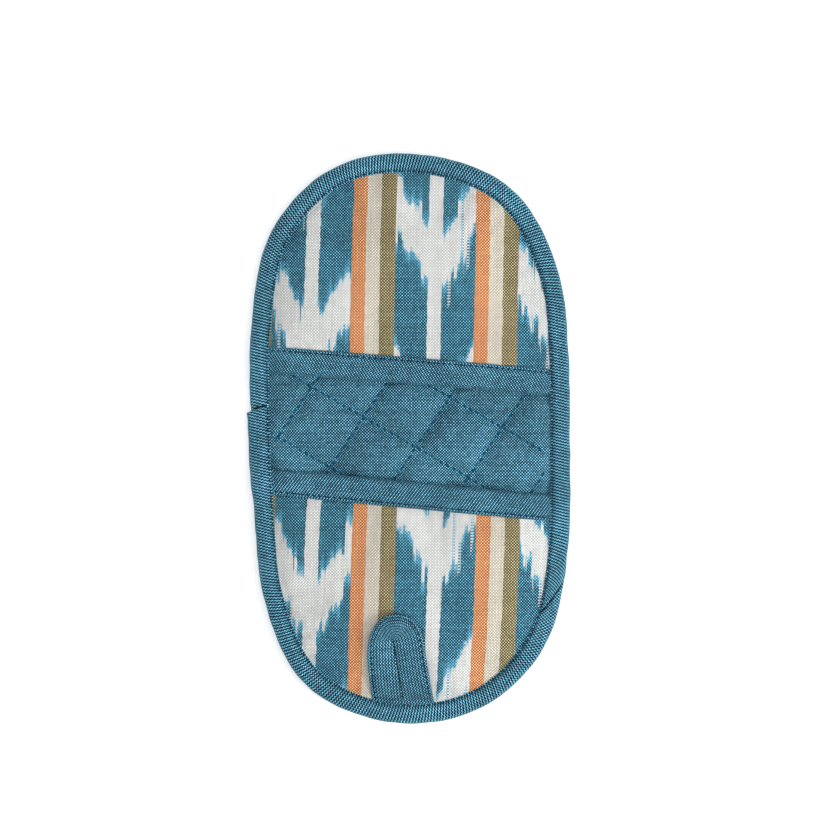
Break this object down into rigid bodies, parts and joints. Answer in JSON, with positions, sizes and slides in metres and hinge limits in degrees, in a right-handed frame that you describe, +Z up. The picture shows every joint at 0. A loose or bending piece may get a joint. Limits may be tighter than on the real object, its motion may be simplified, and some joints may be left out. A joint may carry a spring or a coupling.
{
  "type": "oven mitt",
  "caption": "Short oval oven mitt that folds in half to pinch: quilted base panel, a pocket at each end, bias-bound edge and a hanging loop.",
  "frame": {"origin": "middle of the flat underside, where the mitt lies on a table", "axes": "+Z up through the pockets, +Y along the mitt towards the upper pocket, +X to the right of it"},
  "size_m": [0.1363, 0.2405, 0.0192],
  "materials": {
    "ikat_cotton": "woven cotton with a feathered teal and white pattern and striped bands",
    "chambray": "plain-woven teal chambray",
    "bias_tape": "the same chambray cut on the bias and folded",
    "batting": "needled cotton wadding",
    "thread": "sewing thread"
  },
  "bodies": {
    "upper_half": {"back_cover_upper": "ikat_cotton", "back_batting_upper": "batting", "back_lining_upper": "chambray", "quilting_thread_upper": "thread", "upper_pocket_lining": "chambray", "upper_pocket_batting": "batting", "upper_pocket_cover": "ikat_cotton", "upper_mouth_binding": "bias_tape", "upper_mouth_thread": "thread", "edge_binding_upper": "bias_tape", "edge_binding_end": "bias_tape", "edge_thread_upper": "thread"},
    "lower_half": {"back_cover_lower": "ikat_cotton", "back_batting_lower": "batting", "back_lining_lower": "chambray", "quilting_thread_lower": "thread", "lower_pocket_lining": "chambray", "lower_pocket_batting": "batting", "lower_pocket_cover": "ikat_cotton", "lower_mouth_binding": "bias_tape", "lower_mouth_thread": "thread", "edge_binding_lower": "bias_tape", "edge_binding_right": "bias_tape", "edge_thread_lower": "thread"},
    "loop": {"hanging_loop": "bias_tape", "loop_thread": "thread"}
  },
  "joints": [
    {"name": "pinch_fold", "type": "hinge", "parent": "upper_half", "child": "lower_half", "pos_m": [0, 0.0025, -0.0015], "axis": [1, 0, 0], "range_deg": [-45, 178]},
    {"name": "loop_swing", "type": "hinge", "parent": "lower_half", "child": "loop", "pos_m": [0, -0.111, 0.0093], "axis": [1, 0, 0], "range_deg": [0, 150]}
  ]
}
